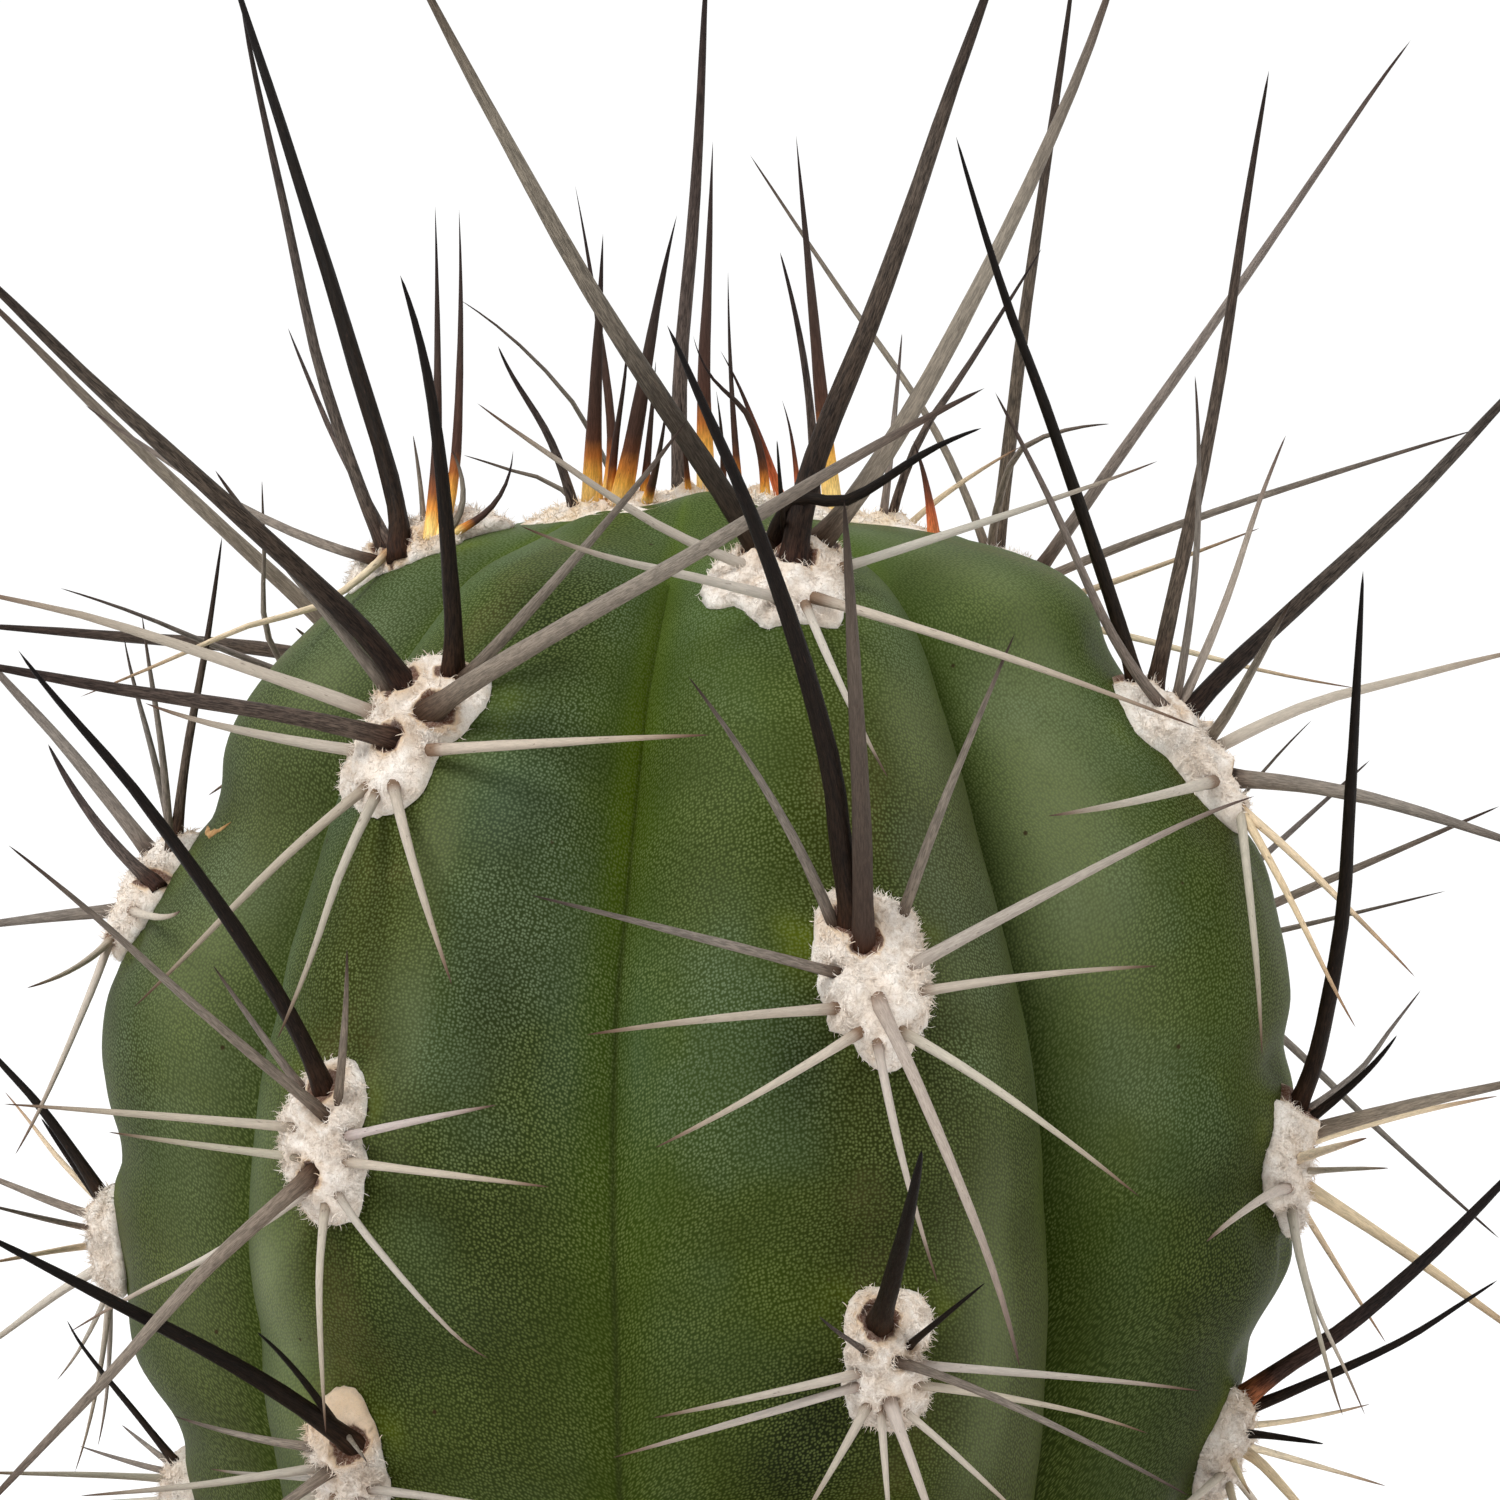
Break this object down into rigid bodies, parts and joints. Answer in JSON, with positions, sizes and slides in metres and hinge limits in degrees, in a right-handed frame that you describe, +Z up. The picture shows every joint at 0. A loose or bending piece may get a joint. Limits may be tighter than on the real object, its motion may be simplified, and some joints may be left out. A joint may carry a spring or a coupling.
{
  "type": "potted cactus",
  "caption": "Young ribbed columnar cactus with long spines in felted clusters, standing in a plain round clay pot.",
  "frame": {"origin": "middle of the pot's underside, on the surface that the pot stands on", "axes": "+Z up along the axis of the pot and the stem; -Y is the side that the picture looks at; +X to its right"},
  "size_m": [0.128, 0.128, 0.242],
  "materials": {
    "stem_skin": "satin",
    "areole": "matte",
    "crown": "matte",
    "terracotta": "matte",
    "soil": "matte",
    "grit": "matte"
  },
  "bodies": {
    "root": {"stem": "stem_skin", "areole_A1": "areole", "areole_A2": "areole", "areole_A3": "areole", "areole_A4": "areole", "areole_A5": "areole", "areole_A6": "areole", "areole_B1": "areole", "areole_B2": "areole", "areole_B3": "areole", "areole_B4": "areole", "areole_B5": "areole", "areole_B6": "areole", "areole_C1": "areole", "areole_C2": "areole", "areole_C3": "areole", "areole_C4": "areole", "areole_C5": "areole", "areole_C6": "areole", "areole_D0": "areole", "areole_D1": "areole", "areole_D2": "areole", "areole_D3": "areole", "areole_D4": "areole", "areole_D5": "areole", "areole_E1": "areole", "areole_E2": "areole", "areole_E3": "areole", "areole_E4": "areole", "areole_E5": "areole", "areole_E6": "areole", "areole_F1": "areole", "areole_F2": "areole", "areole_F3": "areole", "areole_F4": "areole", "areole_F5": "areole", "areole_F6": "areole", "areole_G1": "areole", "areole_G2": "areole", "areole_G3": "areole", "areole_G4": "areole", "areole_G5": "areole", "areole_G6": "areole", "crown": "crown", "pot": "terracotta", "soil": "soil", "top_dressing": "grit"}
  },
  "joints": []
}
